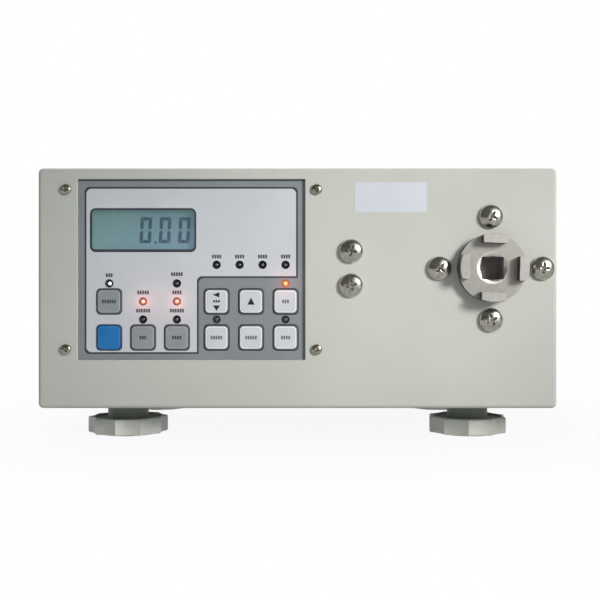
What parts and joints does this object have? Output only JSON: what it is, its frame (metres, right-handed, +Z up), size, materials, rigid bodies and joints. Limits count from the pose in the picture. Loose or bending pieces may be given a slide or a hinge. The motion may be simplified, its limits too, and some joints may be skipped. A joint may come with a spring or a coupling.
{
  "type": "digital torque meter",
  "caption": "Bench torque meter: sheet-steel case with recessed keypad and display, a clawed square-drive torque socket on bearings, and screw levelling feet.",
  "frame": {"origin": "on the bench, at the middle of the footprint", "axes": "+X to the right of someone facing the front panel, +Y from the front panel to the back, +Z up"},
  "size_m": [0.2616, 0.216, 0.1367],
  "materials": {
    "case_paint": "warm light grey-beige satin paint",
    "tray_zinc": "plain zinc-coated sheet",
    "panel_film": "grey printed film over sheet metal",
    "lens_clear": "clear glossy window",
    "display_glass": "grey-green liquid crystal glass",
    "board_green": "green solder resist",
    "key_blue": "blue satin plastic",
    "key_grey": "grey satin plastic",
    "key_white": "off-white satin plastic",
    "small_screw_steel": "nickel plated",
    "big_screw_steel": "nickel plated, bright",
    "socket_steel": "satin hardened steel",
    "housing_aluminium": "machined",
    "bearing_steel": "ground",
    "wheel_grey": "grey satin",
    "pad_rubber": "black rubber",
    "cell_wrap": "shrink wrap",
    "strap_steel": "plain strip",
    "port_metal": "tin-plated shell",
    "jack_black": "black moulding"
  },
  "bodies": {
    "case": {"base_tray": "tray_zinc", "battery_pack": "cell_wrap", "battery_strap": "strap_steel", "beam_block": "housing_aluminium", "beam_carrier_1": "big_screw_steel", "beam_carrier_2": "big_screw_steel", "beam_screw_1": "small_screw_steel", "beam_screw_2": "small_screw_steel", "bearing_housing": "housing_aluminium", "bending_beam": "housing_aluminium", "charge_jack": "jack_black", "cover_screw_1": "small_screw_steel", "cover_screw_2": "small_screw_steel", "cover_screw_3": "small_screw_steel", "cover_screw_4": "small_screw_steel", "data_socket": "port_metal", "display_module": "display_glass", "display_window": "lens_clear", "front_bearing": "bearing_steel", "front_panel": "case_paint", "head_screw_1": "big_screw_steel", "head_screw_2": "big_screw_steel", "head_screw_3": "big_screw_steel", "head_screw_4": "big_screw_steel", "key_panel": "panel_film", "lever_arm": "housing_aluminium", "link_screw_1": "small_screw_steel", "main_board": "board_green", "panel_screw_1": "small_screw_steel", "panel_screw_2": "small_screw_steel", "panel_screw_3": "small_screw_steel", "panel_screw_4": "small_screw_steel", "rear_bearing": "bearing_steel", "rear_panel": "case_paint", "rear_screw_1": "small_screw_steel", "rear_screw_2": "small_screw_steel", "rear_screw_3": "small_screw_steel", "rear_screw_4": "small_screw_steel", "top_cover": "case_paint", "torque_socket": "socket_steel"},
    "left_key_1": {"left_key_1": "key_grey"},
    "left_key_2": {"left_key_2": "key_blue"},
    "left_key_3": {"left_key_3": "key_grey"},
    "left_key_4": {"left_key_4": "key_grey"},
    "right_key_1": {"right_key_1": "key_white"},
    "right_key_2": {"right_key_2": "key_white"},
    "right_key_3": {"right_key_3": "key_white"},
    "right_key_4": {"right_key_4": "key_white"},
    "right_key_5": {"right_key_5": "key_white"},
    "right_key_6": {"right_key_6": "key_white"},
    "foot_pad_1": {"foot_pad_1": "pad_rubber"},
    "foot_pad_2": {"foot_pad_2": "pad_rubber"},
    "foot_pad_3": {"foot_pad_3": "pad_rubber"},
    "foot_pad_4": {"foot_pad_4": "pad_rubber"},
    "foot_wheel_1": {"foot_wheel_1": "wheel_grey"},
    "foot_wheel_2": {"foot_wheel_2": "wheel_grey"},
    "foot_wheel_3": {"foot_wheel_3": "wheel_grey"},
    "foot_wheel_4": {"foot_wheel_4": "wheel_grey"}
  },
  "joints": [
    {"name": "left_key_1_press", "type": "slide", "parent": "case", "child": "left_key_1", "axis": [0, 1, 0], "range_m": [0, 0.0008], "stiffness_N_per_m": 800, "springref_m": -0.001},
    {"name": "left_key_2_press", "type": "slide", "parent": "case", "child": "left_key_2", "axis": [0, 1, 0], "range_m": [0, 0.0008], "stiffness_N_per_m": 800, "springref_m": -0.001},
    {"name": "left_key_3_press", "type": "slide", "parent": "case", "child": "left_key_3", "axis": [0, 1, 0], "range_m": [0, 0.0008], "stiffness_N_per_m": 800, "springref_m": -0.001},
    {"name": "left_key_4_press", "type": "slide", "parent": "case", "child": "left_key_4", "axis": [0, 1, 0], "range_m": [0, 0.0008], "stiffness_N_per_m": 800, "springref_m": -0.001},
    {"name": "right_key_1_press", "type": "slide", "parent": "case", "child": "right_key_1", "axis": [0, 1, 0], "range_m": [0, 0.0008], "stiffness_N_per_m": 800, "springref_m": -0.001},
    {"name": "right_key_2_press", "type": "slide", "parent": "case", "child": "right_key_2", "axis": [0, 1, 0], "range_m": [0, 0.0008], "stiffness_N_per_m": 800, "springref_m": -0.001},
    {"name": "right_key_3_press", "type": "slide", "parent": "case", "child": "right_key_3", "axis": [0, 1, 0], "range_m": [0, 0.0008], "stiffness_N_per_m": 800, "springref_m": -0.001},
    {"name": "right_key_4_press", "type": "slide", "parent": "case", "child": "right_key_4", "axis": [0, 1, 0], "range_m": [0, 0.0008], "stiffness_N_per_m": 800, "springref_m": -0.001},
    {"name": "right_key_5_press", "type": "slide", "parent": "case", "child": "right_key_5", "axis": [0, 1, 0], "range_m": [0, 0.0008], "stiffness_N_per_m": 800, "springref_m": -0.001},
    {"name": "right_key_6_press", "type": "slide", "parent": "case", "child": "right_key_6", "axis": [0, 1, 0], "range_m": [0, 0.0008], "stiffness_N_per_m": 800, "springref_m": -0.001},
    {"name": "foot_lift_1", "type": "slide", "parent": "case", "child": "foot_pad_1", "axis": [0, 0, -1], "range_m": [0, 0.005]},
    {"name": "foot_turn_1", "type": "hinge", "parent": "foot_pad_1", "child": "foot_wheel_1", "pos_m": [-0.091, -0.05715, 0.0049], "axis": [0, 0, -1], "range_deg": [0, 1440]},
    {"name": "foot_lift_2", "type": "slide", "parent": "case", "child": "foot_pad_2", "axis": [0, 0, -1], "range_m": [0, 0.005]},
    {"name": "foot_turn_2", "type": "hinge", "parent": "foot_pad_2", "child": "foot_wheel_2", "pos_m": [0.091, -0.05715, 0.0049], "axis": [0, 0, -1], "range_deg": [0, 1440]},
    {"name": "foot_lift_3", "type": "slide", "parent": "case", "child": "foot_pad_3", "axis": [0, 0, -1], "range_m": [0, 0.005]},
    {"name": "foot_turn_3", "type": "hinge", "parent": "foot_pad_3", "child": "foot_wheel_3", "pos_m": [-0.091, 0.06285, 0.0049], "axis": [0, 0, -1], "range_deg": [0, 1440]},
    {"name": "foot_lift_4", "type": "slide", "parent": "case", "child": "foot_pad_4", "axis": [0, 0, -1], "range_m": [0, 0.005]},
    {"name": "foot_turn_4", "type": "hinge", "parent": "foot_pad_4", "child": "foot_wheel_4", "pos_m": [0.091, 0.06285, 0.0049], "axis": [0, 0, -1], "range_deg": [0, 1440]}
  ],
  "couplings": [
    {"joint": "foot_lift_1", "follows": "foot_turn_1", "m_per_rad": 0.00019894},
    {"joint": "foot_lift_2", "follows": "foot_turn_2", "m_per_rad": 0.00019894},
    {"joint": "foot_lift_3", "follows": "foot_turn_3", "m_per_rad": 0.00019894},
    {"joint": "foot_lift_4", "follows": "foot_turn_4", "m_per_rad": 0.00019894}
  ]
}
